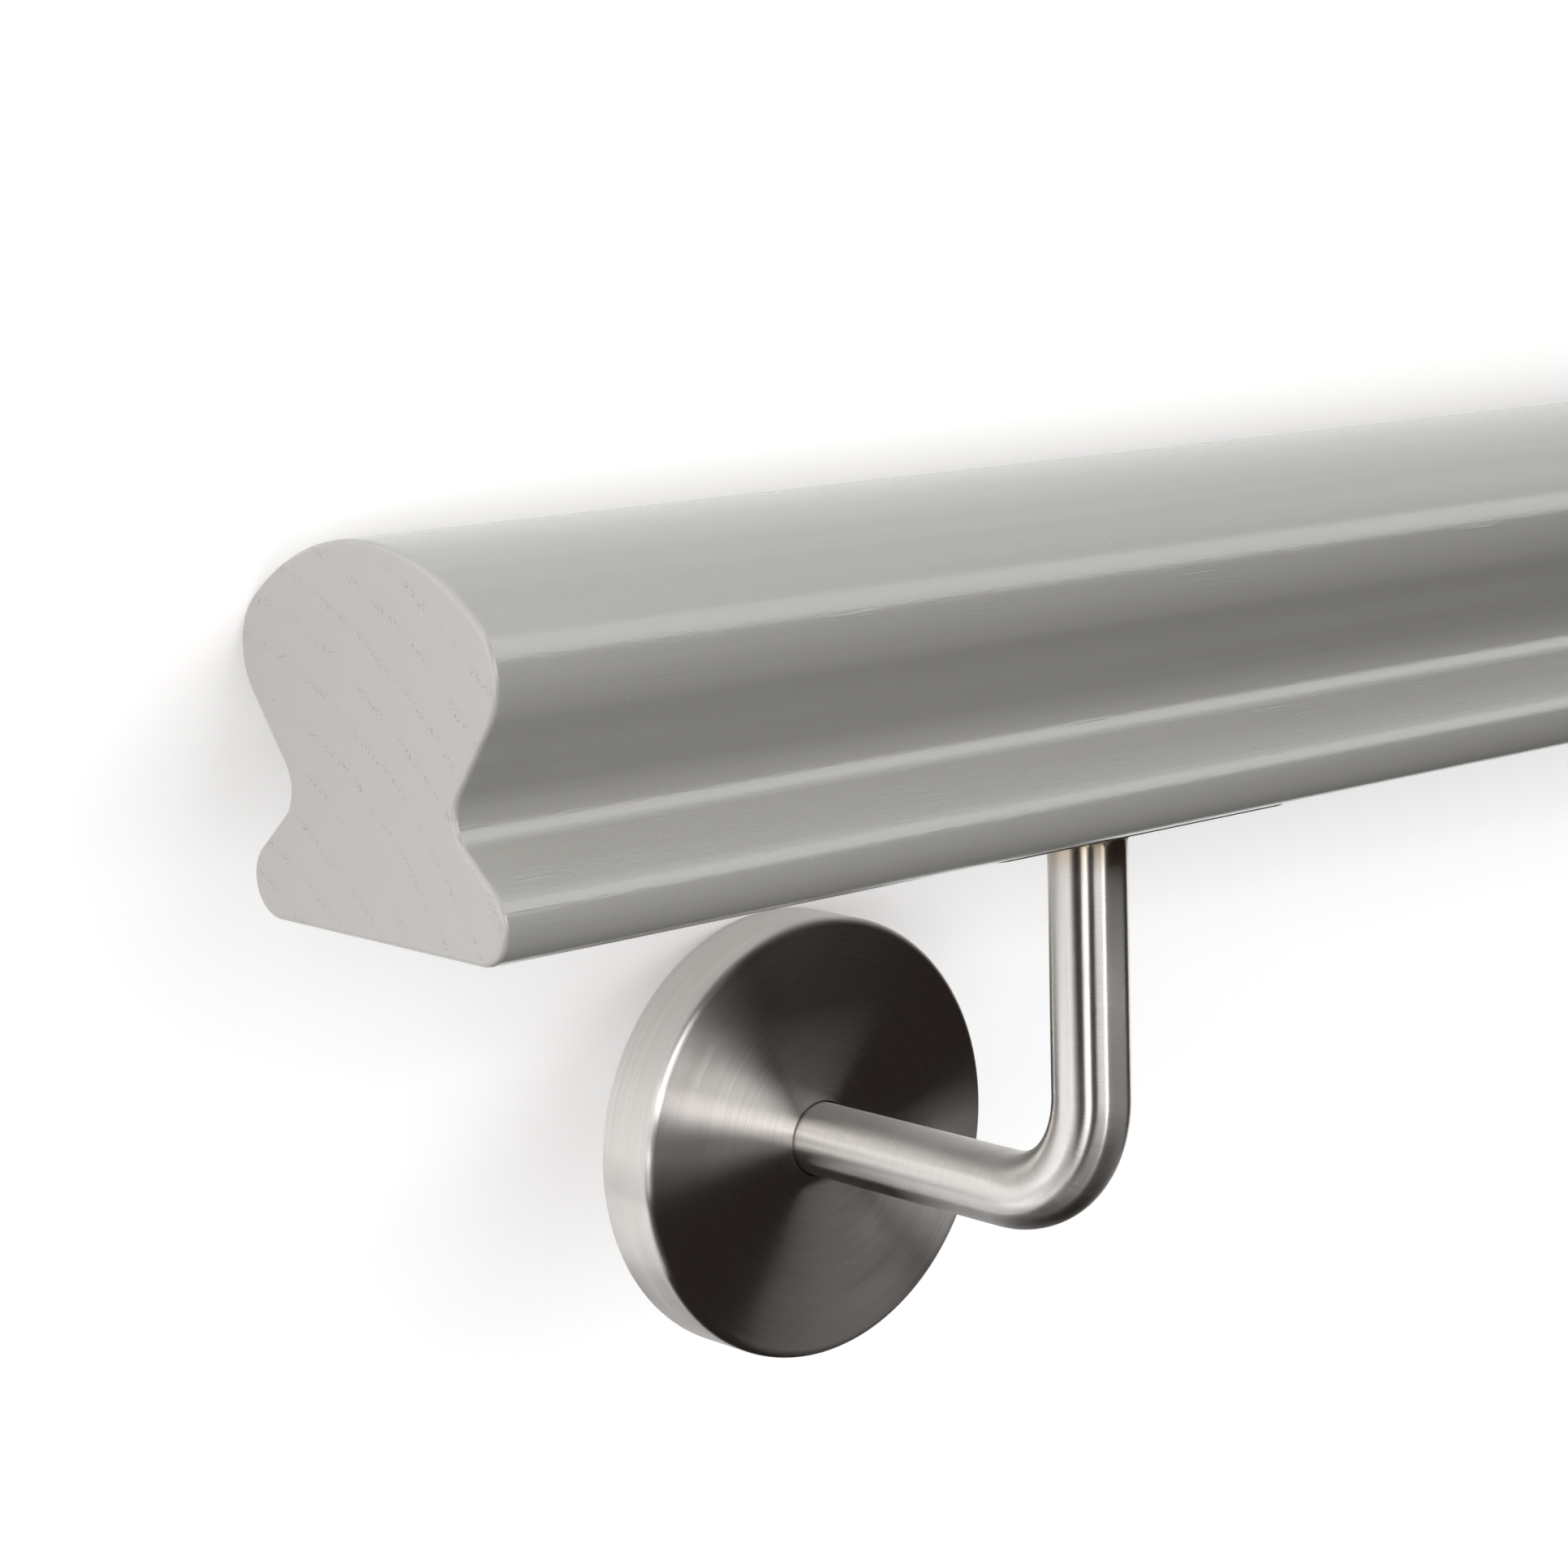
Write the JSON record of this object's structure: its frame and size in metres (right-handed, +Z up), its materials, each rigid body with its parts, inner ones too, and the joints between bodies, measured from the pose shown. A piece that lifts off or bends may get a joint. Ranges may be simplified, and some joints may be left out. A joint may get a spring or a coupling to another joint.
{
  "type": "stair handrail length",
  "caption": "Straight length of painted timber handrail with a rounded head, waist and flared foot, on bent round wall brackets with cover rosettes.",
  "frame": {"origin": "middle of the underside of the whole part's box, as it lies on its back on a floor", "axes": "+X along the rail to its right end, +Z up from the floor; the head of the rail points to +Y and down, and the wall side faces -Y and down at 35.3 degrees from the floor"},
  "size_m": [1, 0.1707, 0.0791],
  "materials": {
    "painted_timber": "satin grey paint on moulded timber",
    "brushed_rod": "stainless steel, brushed along the rod",
    "brushed_rosette": "stainless steel, brushed in circles",
    "plate_steel": "stainless steel, rolled and deburred",
    "screw_steel": "bright plated steel"
  },
  "bodies": {
    "root": {"handrail": "painted_timber", "saddle_plate_left": "plate_steel", "arm_left": "brushed_rod", "wall_plate_left": "plate_steel", "cover_rosette_left": "brushed_rosette", "saddle_screw_left_1": "screw_steel", "saddle_screw_left_2": "screw_steel", "saddle_plate_right": "plate_steel", "arm_right": "brushed_rod", "wall_plate_right": "plate_steel", "cover_rosette_right": "brushed_rosette", "saddle_screw_right_1": "screw_steel", "saddle_screw_right_2": "screw_steel"}
  },
  "joints": []
}
